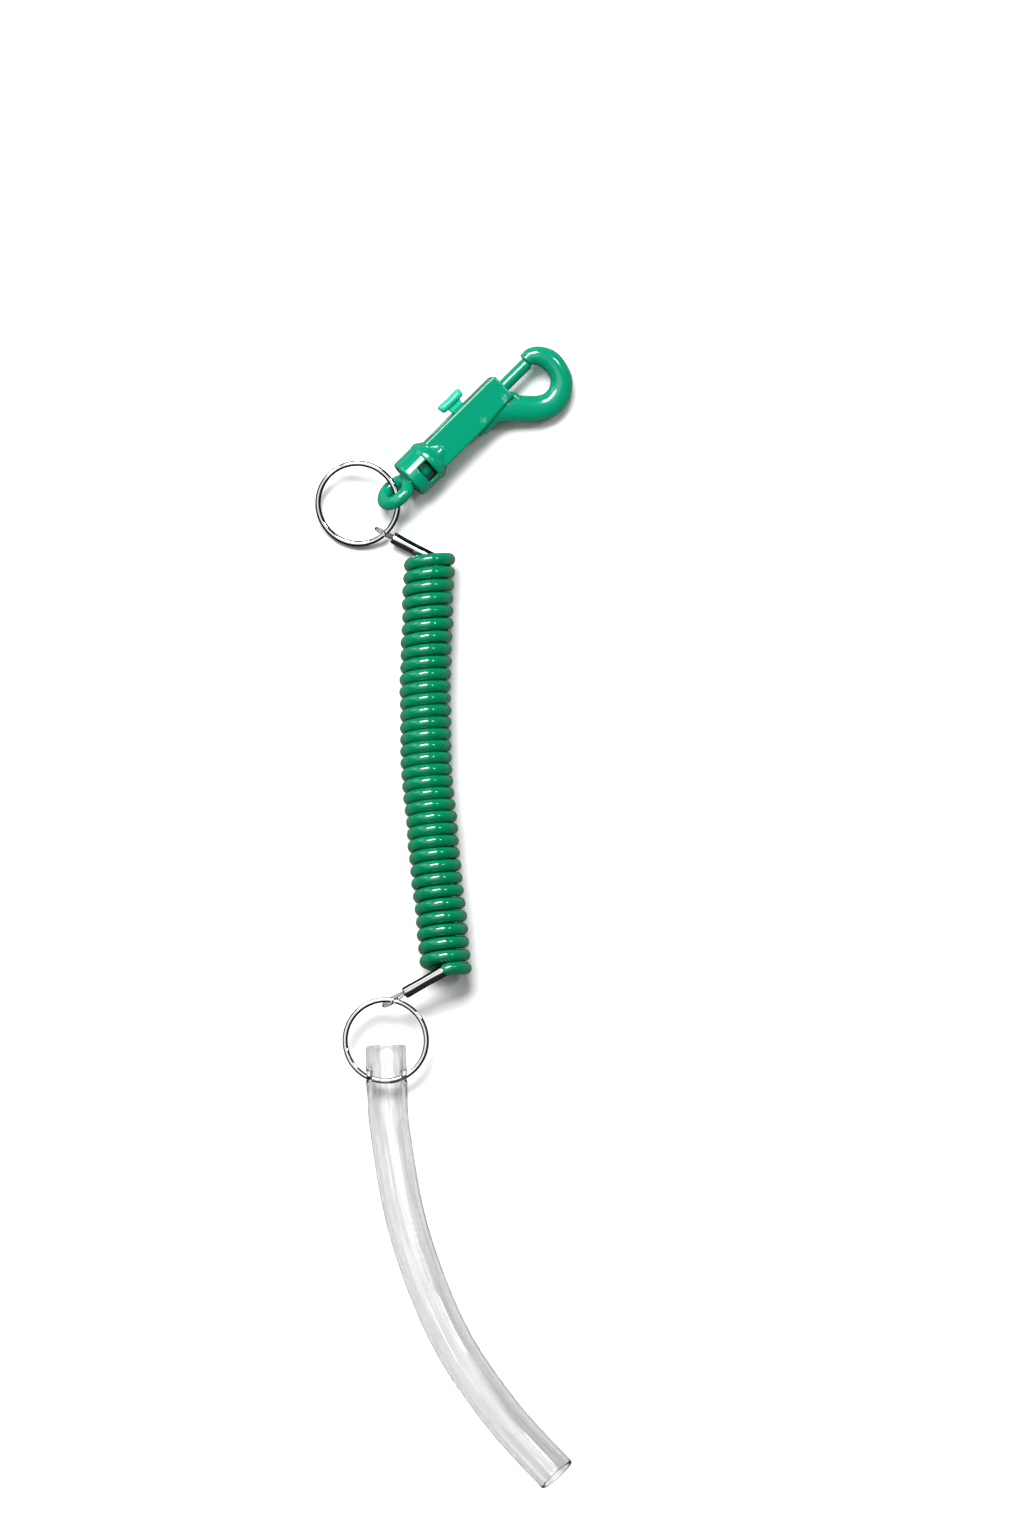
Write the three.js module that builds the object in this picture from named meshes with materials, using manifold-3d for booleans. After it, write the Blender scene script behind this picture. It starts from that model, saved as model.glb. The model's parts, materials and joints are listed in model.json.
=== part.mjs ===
// A stretch-coil lanyard lying on a table: a plastic bolt snap with a swivel eye, a split ring, a coiled
// vinyl cord with a metal crimp and a loop of its clear core at each end, and a clear tube on a second
// split ring. Millimetres, +Z up, Z = 0 is the table; X runs across the lanyard and -Y down its length.
import * as THREE from 'three';
import { mergeVertices } from 'three/addons/utils/BufferGeometryUtils.js';
import Module from 'manifold-3d';

const wasm = await Module();
wasm.setup();

// ---- driving dimensions ----
const CLEARANCE = 0.3;

const COIL_DIAMETER = 15.1;
const COIL_HEIGHT = COIL_DIAMETER / 2 + 0.1;
const COIL_ROUTE = [[-24.0, 58.2], [-25.1, 30], [-25.1, 2], [-22.6, -25], [-20.4, -46], [-19.2, -58.2]];

const RING_DIAMETER = 25;
const RING_WIRE_WIDTH = 1.5;
const RING_STACK_HEIGHT = 1.9;
const RING_WIRE_RADIUS = (RING_DIAMETER - RING_WIRE_WIDTH) / 2;

const CRIMP_DIAMETER = 3.4;
const CRIMP_BORE = 2.7;
const CRIMP_LENGTH = 13.6;
const CORE_DIAMETER = 1;
const CORE_SPACING = 0.55;
const CORE_LOOP_WIDTH = 4;
const CORE_LOOP_LENGTH = 5.8;
const CORE_IN_CRIMP = 4;

const TUBE_DIAMETER = 11.6;
const TUBE_BORE = 9;
const TUBE_HOLE_DIAMETER = 3.6;
const TUBE_HOLE_FROM_END = 8.6;
const TUBE_HEIGHT = TUBE_DIAMETER / 2 + 0.05;
const TUBE_ROUTE = [
  [-36.5, -81.8, 0], [-36.1, -94, 0], [-35.0, -108, 0], [-29.6, -136, 0],
  [-18.4, -165, 0.4], [-3.6, -187.5, 2], [13.0, -206.0, 5.2],
];

const HOOK_HEADING = Math.PI / 4;
const HOOK_ROLL = THREE.MathUtils.degToRad(12);
const HOOK_FRONT = new THREE.Vector3(-3.2, 110.5, 6.9);
const HOUSING_THICKNESS = 8.2;
const HOUSING_WIDTH = 8.9;
const HOUSING_REAR = -28;
const BARREL_RADIUS = 6.3;
const BARREL_REAR = -36.3;
const SKIRT_REAR = -38.2;
const SKIRT_BORE_RADIUS = 5.1;

const BOLT_DIAMETER = 3.8;
const BOLT_TRAVEL = 8;
const BOLT_TIP = 10.6;
const BOLT_REAR = -15.5;
const BOLT_CHAMBER_REAR = -27.6;
const STEM_LENGTH = 4.1;
const STEM_THICKNESS = 2.6;
const STEM_CENTRE = -13.15;

const SWIVEL_HEAD_RADIUS = 3.3;
const SWIVEL_HEAD_FRONT = -31.4;
const SWIVEL_HEAD_REAR = -33.8;
const SWIVEL_SHANK_RADIUS = 1.7;
const EYE_CENTRE = -43.2;
const EYE_RADIUS = 4.3;
const EYE_WIRE_RADIUS = 1.95;
const EYE_ROLL = THREE.MathUtils.degToRad(36);

// the top ring leans on the eye: its low side is on the table, its high side points this way round it
const TOP_RING_TILT = THREE.MathUtils.degToRad(15.8);
const TOP_RING_HIGH_SIDE = THREE.MathUtils.degToRad(60);
const TOP_RING_AT_EYE = THREE.MathUtils.degToRad(16);
const TOP_RING_AT_CORD = THREE.MathUtils.degToRad(-48);
const TOP_CRIMP_FROM_RING = 2.6;
const TOP_CORD_START = new THREE.Vector3(-23.6, 61.3, 3.3);

const BOTTOM_RING_TILT = THREE.MathUtils.degToRad(5.65);
const BOTTOM_RING_AT_CORD = THREE.MathUtils.degToRad(81);
const BOTTOM_CRIMP_FROM_RING = 4.4;
const BOTTOM_CORD_END = new THREE.Vector3(-20.4, -61.0, 12.9);

// ---- materials ----
const greenPlastic = new THREE.MeshStandardMaterial({ color: 0x00a27c, roughness: 0.25 });
const brightPlastic = new THREE.MeshStandardMaterial({ color: 0x10c894, roughness: 0.2 });
const greenVinyl = new THREE.MeshStandardMaterial({ color: 0x008a60, roughness: 0.3 });
const nickel = new THREE.MeshStandardMaterial({ color: 0xd8d8d8, roughness: 0.1, metalness: 1 });
const springSteel = new THREE.MeshStandardMaterial({ color: 0xb0b0b0, roughness: 0.3, metalness: 1 });
const clearCore = new THREE.MeshStandardMaterial({ color: 0xe8e8e8, roughness: 0.1 });
const clearVinyl = new THREE.MeshStandardMaterial({ color: 0xe4e6e6, roughness: 0.1 });

// ---- small tools ----
function solid(geometry) {
  const plain = geometry.clone();
  plain.deleteAttribute('normal');
  plain.deleteAttribute('uv');
  const merged = mergeVertices(plain, 1e-5);
  const vertProperties = new Float32Array(merged.attributes.position.array);
  const corners = [...merged.index.array];
  const kept = corners.filter((_, i) => {
    const [a, b, c] = corners.slice(i - (i % 3), i - (i % 3) + 3);
    return a !== b && b !== c && c !== a;
  });
  const triVerts = new Uint32Array(kept);
  return new wasm.Manifold(new wasm.Mesh({ numProp: 3, vertProperties, triVerts }));
}

function geometryOf(manifold) {
  const mesh = manifold.getMesh();
  const geometry = new THREE.BufferGeometry();
  geometry.setAttribute('position', new THREE.BufferAttribute(mesh.vertProperties, 3));
  geometry.setIndex(new THREE.BufferAttribute(mesh.triVerts, 1));
  geometry.computeVertexNormals();
  return geometry;
}

function piece(name, geometry, material) {
  const mesh = new THREE.Mesh(geometry, material);
  mesh.name = name;
  return mesh;
}

// a turned shape about the X axis from [x, radius] pairs, which run from low x to high x
function turned(profile, sides = 32) {
  const points = profile.map(([x, radius]) => new THREE.Vector2(radius, x));
  return new THREE.LatheGeometry(points, sides).rotateZ(-Math.PI / 2);
}

function cylinder(radius, fromX, toX, sides = 24) {
  return turned([[fromX, 0], [fromX, radius], [toX, radius], [toX, 0]], sides);
}

function block(lowX, highX, lowY, highY, lowZ, highZ) {
  const box = new THREE.BoxGeometry(highX - lowX, highY - lowY, highZ - lowZ);
  return box.translate((lowX + highX) / 2, (lowY + highY) / 2, (lowZ + highZ) / 2);
}

// a flat outline given a thickness about Z = 0, with its edges rounded inside the outline
function moulded(outline, thickness, rounding, curveSegments = 10) {
  const options = {
    depth: thickness - 2 * rounding,
    bevelThickness: rounding,
    bevelSize: rounding,
    bevelOffset: -rounding,
    bevelSegments: 3,
    curveSegments,
  };
  return new THREE.ExtrudeGeometry(outline, options).translate(0, 0, rounding - thickness / 2);
}

function circleShape(radius, sides) {
  const points = [];
  for (let i = 0; i < sides; i += 1) {
    const angle = (2 * Math.PI * i) / sides;
    points.push(new THREE.Vector2(radius * Math.cos(angle), radius * Math.sin(angle)));
  }
  return new THREE.Shape(points);
}

function swept(shape, curve, steps) {
  return new THREE.ExtrudeGeometry(shape, { extrudePath: curve, steps, bevelEnabled: false });
}

// ---- bolt snap, in its own frame: X towards the nose, Y towards the thumb knob, Z out of its face ----
// the curved arm, as a bar of changing width: [x, y, width, thickness] from the nose round to its root
const HOOK_ARM = [
  [10.9, 0.8, 4.0, 4.6], [12.6, 0.5, 4.8, 5.1], [14.9, -1.2, 5.7, 5.7], [16.0, -4.1, 6.1, 6.0],
  [15.8, -7.7, 6.1, 6.2], [14.2, -11.0, 6.4, 6.2], [10.9, -13.1, 6.8, 6.2], [7.0, -13.3, 7.3, 6.2],
  [3.5, -11.5, 7.5, 6.2], [0.3, -8.4, 7.6, 6.2], [-2.6, -5.6, 7.4, 6.2], [-6.5, -3.4, 7.0, 6.2],
  [-12.5, -3.0, 6.6, 6.2],
];

function hookArm() {
  const sides = 14;
  const steps = 44;
  const middle = new THREE.CatmullRomCurve3(HOOK_ARM.map(([x, y]) => new THREE.Vector3(x, y, 0)));
  const girth = new THREE.CatmullRomCurve3(HOOK_ARM.map(([, , w, t]) => new THREE.Vector3(w, t, 0)));
  const soften = (value) => Math.sign(value) * Math.abs(value) ** 0.85;
  const positions = [];
  for (let i = 0; i <= steps; i += 1) {
    const at = middle.getPoint(i / steps);
    const along = middle.getTangent(i / steps);
    const size = girth.getPoint(i / steps);
    for (let j = 0; j < sides; j += 1) {
      const angle = (2 * Math.PI * j) / sides;
      const aside = (soften(Math.cos(angle)) * size.x) / 2;
      const high = (soften(Math.sin(angle)) * size.y) / 2;
      positions.push(at.x - along.y * aside, at.y + along.x * aside, high);
    }
  }
  const indices = [];
  for (let i = 0; i < steps; i += 1) {
    for (let j = 0; j < sides; j += 1) {
      const here = i * sides + j;
      const next = i * sides + ((j + 1) % sides);
      indices.push(here, next, here + sides, next, next + sides, here + sides);
    }
  }
  for (let j = 1; j < sides - 1; j += 1) {
    const last = steps * sides;
    indices.push(0, j + 1, j, last, last + j, last + j + 1);
  }
  const geometry = new THREE.BufferGeometry();
  geometry.setAttribute('position', new THREE.Float32BufferAttribute(positions, 3));
  geometry.setIndex(indices);
  return geometry;
}

function housingOutline() {
  const half = HOUSING_WIDTH / 2;
  const outline = new THREE.Shape();
  outline.moveTo(0.8, 3.9);
  outline.lineTo(-1, half);
  outline.lineTo(HOUSING_REAR, half);
  outline.lineTo(HOUSING_REAR, -half);
  outline.lineTo(-14, -half);
  outline.lineTo(-4, -3.6);
  outline.lineTo(0.8, -3.2);
  return outline;
}

function hookBody() {
  const barrel = turned([
    [BARREL_REAR, 0],
    [BARREL_REAR, SKIRT_BORE_RADIUS],
    [SKIRT_REAR, SKIRT_BORE_RADIUS],
    [SKIRT_REAR, BARREL_RADIUS - 0.6],
    [SKIRT_REAR + 0.6, BARREL_RADIUS - 0.1],
    [-31.5, BARREL_RADIUS],
    [-29.8, BARREL_RADIUS - 0.3],
    [-27.6, 4.9],
    [-26.6, 4.1],
    [-26.6, 0],
  ]);
  const boltBore = cylinder(BOLT_DIAMETER / 2 + CLEARANCE, BOLT_CHAMBER_REAR, 3, 16);
  const stemRear = STEM_CENTRE - STEM_LENGTH / 2 - BOLT_TRAVEL - CLEARANCE;
  const stemFront = STEM_CENTRE + STEM_LENGTH / 2 + CLEARANCE;
  const slotHalf = STEM_THICKNESS / 2 + CLEARANCE;
  const slot = block(stemRear, stemFront, 0, HOUSING_WIDTH, -slotHalf, slotHalf);
  const headFront = SWIVEL_HEAD_FRONT + 0.4;
  const headRear = SWIVEL_HEAD_REAR - 0.4;
  const headChamber = cylinder(SWIVEL_HEAD_RADIUS + 0.4, headRear, headFront, 20);
  const window = block(headRear, headFront, -3.9, 1.3, -BARREL_RADIUS - 1, BARREL_RADIUS + 1);
  const shankBore = cylinder(SWIVEL_SHANK_RADIUS + CLEARANCE, BARREL_REAR - 1, headFront, 16);
  const shoulder = block(-1, 2.4, -6, -2.3, -2, 2);
  const crown = block(12.7, 14.5, -6.1, -3.5, -1.6, 1.6);
  return solid(hookArm())
    .add(solid(moulded(housingOutline(), HOUSING_THICKNESS, 0.7)))
    .add(solid(shoulder))
    .add(solid(crown))
    .add(solid(barrel))
    .subtract(solid(boltBore))
    .subtract(solid(slot))
    .subtract(solid(headChamber))
    .subtract(solid(window))
    .subtract(solid(shankBore));
}

// the sliding rod and its thumb knob are one moulding
function bolt() {
  const radius = BOLT_DIAMETER / 2;
  const rod = turned([
    [BOLT_REAR, 0],
    [BOLT_REAR, radius],
    [BOLT_TIP - 0.4, radius],
    [BOLT_TIP, radius - 0.4],
    [BOLT_TIP, 0],
  ], 16);
  const stemHalf = STEM_LENGTH / 2;
  const thickHalf = STEM_THICKNESS / 2;
  const stem = block(STEM_CENTRE - stemHalf, STEM_CENTRE + stemHalf, 1, 7.4, -thickHalf, thickHalf);
  const pad = new THREE.SphereGeometry(1, 20, 12).scale(4.1, 1.3, 2.6).translate(STEM_CENTRE, 7.8, 0);
  return solid(rod).add(solid(stem)).add(solid(pad));
}

function boltSpring() {
  const turns = 6;
  const meanRadius = BOLT_DIAMETER / 2 - 0.3;
  const front = BOLT_REAR - 0.5;
  const rear = BOLT_CHAMBER_REAR + 0.5;
  class Coil extends THREE.Curve {
    getPoint(t, target = new THREE.Vector3()) {
      const angle = 2 * Math.PI * turns * t;
      const along = front + (rear - front) * t;
      return target.set(along, meanRadius * Math.cos(angle), meanRadius * Math.sin(angle));
    }
  }
  return swept(circleShape(0.22, 5), new Coil(), turns * 10);
}

// the eye, its collar, its shank and the head that the barrel holds are one moulding
function swivelEye() {
  const eye = new THREE.TorusGeometry(EYE_RADIUS, EYE_WIRE_RADIUS, 12, 28);
  eye.rotateX(EYE_ROLL - HOOK_ROLL - Math.PI / 2).translate(EYE_CENTRE, 0, 0);
  const eyeFront = EYE_CENTRE + EYE_RADIUS;
  const stalk = turned([
    [eyeFront, 0],
    [eyeFront, 2.6],
    [BARREL_REAR - 1.6, 4.6],
    [BARREL_REAR - 0.7, 4.6],
    [BARREL_REAR - 0.4, 4.2],
    [BARREL_REAR - 0.4, SWIVEL_SHANK_RADIUS],
    [SWIVEL_HEAD_REAR, SWIVEL_SHANK_RADIUS],
    [SWIVEL_HEAD_REAR, SWIVEL_HEAD_RADIUS],
    [SWIVEL_HEAD_FRONT - 0.6, SWIVEL_HEAD_RADIUS],
    [SWIVEL_HEAD_FRONT, SWIVEL_HEAD_RADIUS - 0.7],
    [SWIVEL_HEAD_FRONT, 0],
  ], 20);
  return solid(stalk).add(solid(eye));
}

const alongHook = new THREE.Vector3(Math.cos(HOOK_HEADING), Math.sin(HOOK_HEADING), 0);
const acrossHook = new THREE.Vector3(-Math.sin(HOOK_HEADING), Math.cos(HOOK_HEADING), 0);
const up = new THREE.Vector3(0, 0, 1);
acrossHook.applyAxisAngle(alongHook, HOOK_ROLL);
const hookFrame = new THREE.Matrix4().makeBasis(
  alongHook,
  acrossHook,
  new THREE.Vector3().crossVectors(alongHook, acrossHook),
);
hookFrame.setPosition(HOOK_FRONT);

const hook = new THREE.Group();
hook.applyMatrix4(hookFrame);
hook.add(piece('hook_body', geometryOf(hookBody()), greenPlastic));
hook.add(piece('bolt', geometryOf(bolt()), brightPlastic));
hook.add(piece('bolt_spring', boltSpring(), springSteel));
hook.add(piece('swivel_eye', geometryOf(swivelEye()), greenPlastic));

// ---- split rings: two touching turns of flattened wire, here as one closed section ----
function splitRing() {
  const width = RING_WIRE_WIDTH / 2;
  const height = RING_STACK_HEIGHT / 2;
  const corner = 0.3;
  const section = [
    [width, corner - height], [width, height - corner], [width - corner, height],
    [corner - width, height], [-width, height - corner], [-width, corner - height],
    [corner - width, -height], [width - corner, -height], [width, corner - height],
  ];
  const points = section.map(([radial, axial]) => new THREE.Vector2(RING_WIRE_RADIUS + radial, axial));
  return new THREE.LatheGeometry(points, 44).rotateX(Math.PI / 2);
}

// where a ring lies: it is raised by tilt towards highSide, and passes through a point at some angle
class RingPlace {
  constructor(tilt, highSide, through, angle, radius) {
    const axis = new THREE.Vector3(Math.sin(highSide), -Math.cos(highSide), 0);
    this.turn = new THREE.Quaternion().setFromAxisAngle(axis, tilt);
    this.centre = through.clone().addScaledVector(this.spoke(angle), -radius);
  }

  spoke(angle) {
    return new THREE.Vector3(Math.cos(angle), Math.sin(angle), 0).applyQuaternion(this.turn);
  }

  wire(angle) {
    return this.spoke(angle).multiplyScalar(RING_WIRE_RADIUS).add(this.centre);
  }

  direction(angle) {
    return this.spoke(angle + Math.PI / 2);
  }

  piece(name) {
    const mesh = piece(name, splitRing(), nickel);
    mesh.quaternion.copy(this.turn);
    mesh.position.copy(this.centre);
    return mesh;
  }
}

const eyeMiddle = new THREE.Vector3(EYE_CENTRE, 0, 0).applyMatrix4(hookFrame);
const topRing = new RingPlace(
  TOP_RING_TILT,
  TOP_RING_HIGH_SIDE,
  eyeMiddle,
  TOP_RING_AT_EYE,
  RING_WIRE_RADIUS,
);

const tubeHole = new THREE.Vector3(TUBE_ROUTE[0][0], TUBE_ROUTE[0][1] - TUBE_HOLE_FROM_END, TUBE_HEIGHT);
const holeFromCentre = Math.sqrt(RING_WIRE_RADIUS ** 2 - (TUBE_DIAMETER / 2) ** 2);
const bottomRing = new RingPlace(
  BOTTOM_RING_TILT,
  Math.PI / 2,
  tubeHole,
  -Math.PI / 2,
  holeFromCentre,
);

// ---- cord ends: a loop of the clear core round the ring's wire, and the crimp that holds it ----
function coreLoop(name, at, wireDirection, towardsCrimp, crimpDistance) {
  const across = new THREE.Vector3().crossVectors(towardsCrimp, wireDirection).normalize();
  const place = (along, aside) => at.clone()
    .addScaledVector(towardsCrimp, along)
    .addScaledVector(across, aside);
  const tail = crimpDistance + CORE_IN_CRIMP;
  const route = [place(tail, CORE_SPACING), place(crimpDistance + 0.6, CORE_SPACING)];
  for (let i = 0; i <= 8; i += 1) {
    const angle = Math.PI / 3 + (i / 8) * (4 * Math.PI) / 3;
    const along = (CORE_LOOP_LENGTH / 2) * Math.cos(angle);
    route.push(place(along, (CORE_LOOP_WIDTH / 2) * Math.sin(angle)));
  }
  route.push(place(crimpDistance + 0.6, -CORE_SPACING), place(tail, -CORE_SPACING));
  const curve = new THREE.CatmullRomCurve3(route, false, 'centripetal');
  return piece(name, swept(circleShape(CORE_DIAMETER / 2, 8), curve, 40), clearCore);
}

function crimp(name, at, towardsCrimp, crimpDistance) {
  const outer = CRIMP_DIAMETER / 2;
  const bore = CRIMP_BORE / 2;
  const profile = [
    [0, bore], [0, outer - 0.15], [0.3, outer], [CRIMP_LENGTH - 0.3, outer],
    [CRIMP_LENGTH, outer - 0.15], [CRIMP_LENGTH, bore], [0, bore],
  ];
  const mesh = piece(name, turned(profile, 20), nickel);
  mesh.position.copy(at).addScaledVector(towardsCrimp, crimpDistance);
  mesh.quaternion.setFromUnitVectors(new THREE.Vector3(1, 0, 0), towardsCrimp);
  return mesh;
}

function cordEnd(prefix, ring, angle, cordPoint, crimpDistance) {
  const at = ring.wire(angle);
  const towardsCrimp = cordPoint.clone().sub(at).normalize();
  return [
    coreLoop(`${prefix}_core_loop`, at, ring.direction(angle), towardsCrimp, crimpDistance),
    crimp(`${prefix}_crimp`, at, towardsCrimp, crimpDistance),
  ];
}

// ---- coiled cord: one closed body of the coil's outer diameter ----
function coilCord() {
  const points = COIL_ROUTE.map(([x, y]) => new THREE.Vector3(x, y, COIL_HEIGHT));
  const curve = new THREE.CatmullRomCurve3(points, false, 'centripetal');
  return swept(circleShape(COIL_DIAMETER / 2, 12), curve, 20);
}

// ---- clear tube: an open-ended curved sleeve with two side holes for the ring ----
function chewTube() {
  const points = TUBE_ROUTE.map(([x, y, z]) => new THREE.Vector3(x, y, z + TUBE_HEIGHT));
  const curve = new THREE.CatmullRomCurve3(points, false, 'centripetal');
  const section = circleShape(TUBE_DIAMETER / 2, 20);
  section.holes.push(circleShape(TUBE_BORE / 2, 20));
  const hole = cylinder(TUBE_HOLE_DIAMETER / 2, -TUBE_DIAMETER, TUBE_DIAMETER, 16);
  hole.translate(tubeHole.x, tubeHole.y, tubeHole.z);
  return solid(swept(section, curve, 30)).subtract(solid(hole));
}

// ---- assembly ----
const lanyard = new THREE.Group();
lanyard.add(hook);
lanyard.add(topRing.piece('top_split_ring'));
lanyard.add(...cordEnd('top', topRing, TOP_RING_AT_CORD, TOP_CORD_START, TOP_CRIMP_FROM_RING));
lanyard.add(piece('coil_cord', coilCord(), greenVinyl));
lanyard.add(...cordEnd('bottom', bottomRing, BOTTOM_RING_AT_CORD, BOTTOM_CORD_END, BOTTOM_CRIMP_FROM_RING));
lanyard.add(bottomRing.piece('bottom_split_ring'));
lanyard.add(piece('chew_tube', geometryOf(chewTube()), clearVinyl));

// the origin is the middle of the lanyard's box, on the table
const extent = new THREE.Box3().setFromObject(lanyard, true);
const middle = extent.getCenter(new THREE.Vector3());
lanyard.position.set(-middle.x, -middle.y, -extent.min.z);

export default lanyard;
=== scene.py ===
"""A coil lanyard on a table: a green bolt snap with a swivel eye, a split ring, a coiled vinyl cord held in a
crimp at each end, and a clear curved tube on a second split ring. Metres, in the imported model's frame."""

import json
import math
import random

import bmesh
import bpy
from mathutils import Matrix, Vector


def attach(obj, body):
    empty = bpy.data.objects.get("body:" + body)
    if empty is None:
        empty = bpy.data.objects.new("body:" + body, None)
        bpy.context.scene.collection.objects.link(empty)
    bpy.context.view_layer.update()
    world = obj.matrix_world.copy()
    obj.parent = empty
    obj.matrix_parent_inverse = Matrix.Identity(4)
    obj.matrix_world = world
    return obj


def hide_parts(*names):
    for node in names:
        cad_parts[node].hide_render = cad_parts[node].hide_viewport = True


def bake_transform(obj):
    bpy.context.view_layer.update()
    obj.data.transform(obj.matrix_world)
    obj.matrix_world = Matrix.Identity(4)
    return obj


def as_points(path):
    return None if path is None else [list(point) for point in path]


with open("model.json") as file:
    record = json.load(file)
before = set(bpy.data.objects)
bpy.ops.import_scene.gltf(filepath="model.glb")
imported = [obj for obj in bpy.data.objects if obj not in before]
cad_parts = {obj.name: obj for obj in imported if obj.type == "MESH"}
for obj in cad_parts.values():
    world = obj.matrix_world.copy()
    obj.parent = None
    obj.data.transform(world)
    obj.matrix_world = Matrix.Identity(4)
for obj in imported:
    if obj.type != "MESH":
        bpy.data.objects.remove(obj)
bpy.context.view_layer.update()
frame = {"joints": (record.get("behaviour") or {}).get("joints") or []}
joints = {joint["name"]: joint for joint in frame["joints"]}


# ---- Table, camera and lights ------------------------------------------------------------------------------
# The lanyard lies on a white table and is seen almost from straight above through a long lens. A large
# softbox hangs beyond it, with a small one to the right and a weak panel low on the left. The room is dark
# except for a patch of ceiling, and the table is darker in mirrors and through clear plastic than it looks.
view_centre = Vector((0.01986, 0.04343, 0.0))
view_height = 0.4465
view_elevation = math.radians(83)
lens_mm = 250
sensor_mm = 36

camera_data = bpy.data.cameras.new("camera")
camera_data.lens = lens_mm
camera_data.sensor_width = sensor_mm
camera = bpy.data.objects.new("camera", camera_data)
bpy.context.collection.objects.link(camera)
view_back = Vector((0, -math.cos(view_elevation), math.sin(view_elevation)))
camera.location = view_centre + view_back * (view_height * lens_mm / sensor_mm)
camera.rotation_euler = view_back.to_track_quat("Z", "Y").to_euler()
camera_data.clip_end = 50
bpy.context.scene.camera = camera
bpy.context.scene.view_settings.view_transform = "Standard"


class Term:
    """A shader socket that Python's arithmetic works on: each operator adds its Math node."""

    def __init__(self, shader, socket):
        self.shader = shader
        self.socket = socket

    def math(self, operation, *values):
        return self.shader.node("ShaderNodeMath", {"operation": operation}, dict(enumerate(values)))

    def __add__(self, other):
        return self.math("ADD", self, other)

    def __mul__(self, other):
        return self.math("MULTIPLY", self, other)

    def __sub__(self, other):
        return self.math("SUBTRACT", self, other)

    def __rsub__(self, other):
        return self.math("SUBTRACT", other, self)

    def __pow__(self, other):
        return self.math("POWER", self, other)

    __radd__ = __add__
    __rmul__ = __mul__


class Shader:
    """The nodes of one material or of the world. node() adds any node: its settings, then its sockets."""

    def __init__(self, owner):
        owner.use_nodes = True
        self.tree = owner.node_tree

    def node(self, kind, settings=None, sockets=None, output=0):
        node = self.tree.nodes.new(kind)
        stops = (settings or {}).pop("stops", None)
        for name, value in (settings or {}).items():
            setattr(node, name, value)
        if stops:
            ramp = node.color_ramp
            for index, (position, colour) in enumerate(stops):
                stop = ramp.elements[index] if index < 2 else ramp.elements.new(position)
                stop.position = position
                stop.color = colour
        for name, value in (sockets or {}).items():
            self.put(node.inputs[name], value)
        return Term(self, node.outputs[output])

    def put(self, socket, value):
        if isinstance(value, Term):
            self.tree.links.new(value.socket, socket)
        else:
            socket.default_value = value


world = bpy.data.worlds.new("studio")
bpy.context.scene.world = world
room = Shader(world)
direction = room.node("ShaderNodeTexCoord")
towards_ceiling = room.node(
    "ShaderNodeVectorMath", {"operation": "DOT_PRODUCT"}, {0: direction, 1: (-0.30, 0.05, 0.95)}, output=1
)
room_light = room.node(
    "ShaderNodeValToRGB",
    {"stops": [(0.0, (0.02, 0.02, 0.02, 1)), (0.83, (0.03, 0.03, 0.03, 1)), (0.91, (1.0, 1.01, 1.02, 1))]},
    {0: towards_ceiling},
)
room.put(room.tree.nodes["Background"].inputs["Color"], room_light)
room.tree.nodes["Background"].inputs["Strength"].default_value = 1.0


def softbox(name, towards, distance, width, depth, watts):
    light = bpy.data.lights.new(name, "AREA")
    light.shape = "RECTANGLE"
    light.size = width
    light.size_y = depth
    light.energy = watts
    lamp = bpy.data.objects.new(name, light)
    bpy.context.collection.objects.link(lamp)
    direction = Vector(towards).normalized()
    lamp.location = view_centre + direction * distance
    lamp.rotation_euler = direction.to_track_quat("Z", "Y").to_euler()


softbox("key_softbox", (-0.17, 0.46, 0.87), 1.2, 0.75, 0.45, 22)
softbox("side_softbox", (0.52, 0.30, 0.80), 1.5, 0.20, 0.16, 3)
softbox("left_panel", (-0.75, 0.52, 0.40), 1.3, 0.6, 0.6, 2)

bpy.ops.mesh.primitive_grid_add(x_subdivisions=2, y_subdivisions=2, size=24)
table = bpy.context.object
table.name = "table"
paper = bpy.data.materials.new("white_table")
paper_shader = Shader(paper)
paper_surface = paper_shader.tree.nodes["Principled BSDF"]
paper_rays = paper_shader.node("ShaderNodeLightPath", output=3)
paper_through = paper_shader.node("ShaderNodeLightPath", output=6)
paper_white, darker_in_mirrors, lighter_through_plastic = 0.95, 0.84, 0.44
paper_tone = paper_white - paper_rays * (darker_in_mirrors - paper_through * lighter_through_plastic)
paper_shader.put(paper_surface.inputs["Base Color"], paper_tone)
paper_surface.inputs["Roughness"].default_value = 0.9
paper_surface.inputs["Specular IOR Level"].default_value = 0.1
table.data.materials.append(paper)
table.location.z = -0.0001


# ---- Coiled cord -------------------------------------------------------------------------------------------
# A clear core line in a green vinyl jacket, wound hot on a rod so that it springs back to touching turns. It
# comes out of the top crimp under the coil, makes 33 turns and runs over the last one into the bottom crimp.
cord_diameter = 0.00355
coil_radius = 0.00755 - cord_diameter / 2
coil_height = 0.00763
coil_turns = 33
coil_top_y = 0.1027
coil_bottom_y = -0.0168
coil_route = [(-0.00414, 0.1016), (-0.00524, 0.0734), (-0.00524, 0.0454)]
coil_route += [(-0.00274, 0.0184), (-0.00054, -0.0026), (0.00066, -0.0148)]
crimp_length = 0.0136
steps_per_turn = 36


def cord_end(joint_name, cord_point, ring_gap):
    """Where a crimp starts, the way it runs and where the cord meets it."""
    on_ring = Vector(joints[joint_name]["pos_m"])
    towards = (Vector(cord_point) - on_ring).normalized()
    start = on_ring + towards * ring_gap
    return start, towards, start + towards * crimp_length


top_end = cord_end("coil_swing", (-0.00374, 0.104729, 0.0032775), 0.0026)
bottom_end = cord_end("bottom_ring_swing", (-0.00054, -0.017571, 0.0128775), 0.0044)


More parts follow.
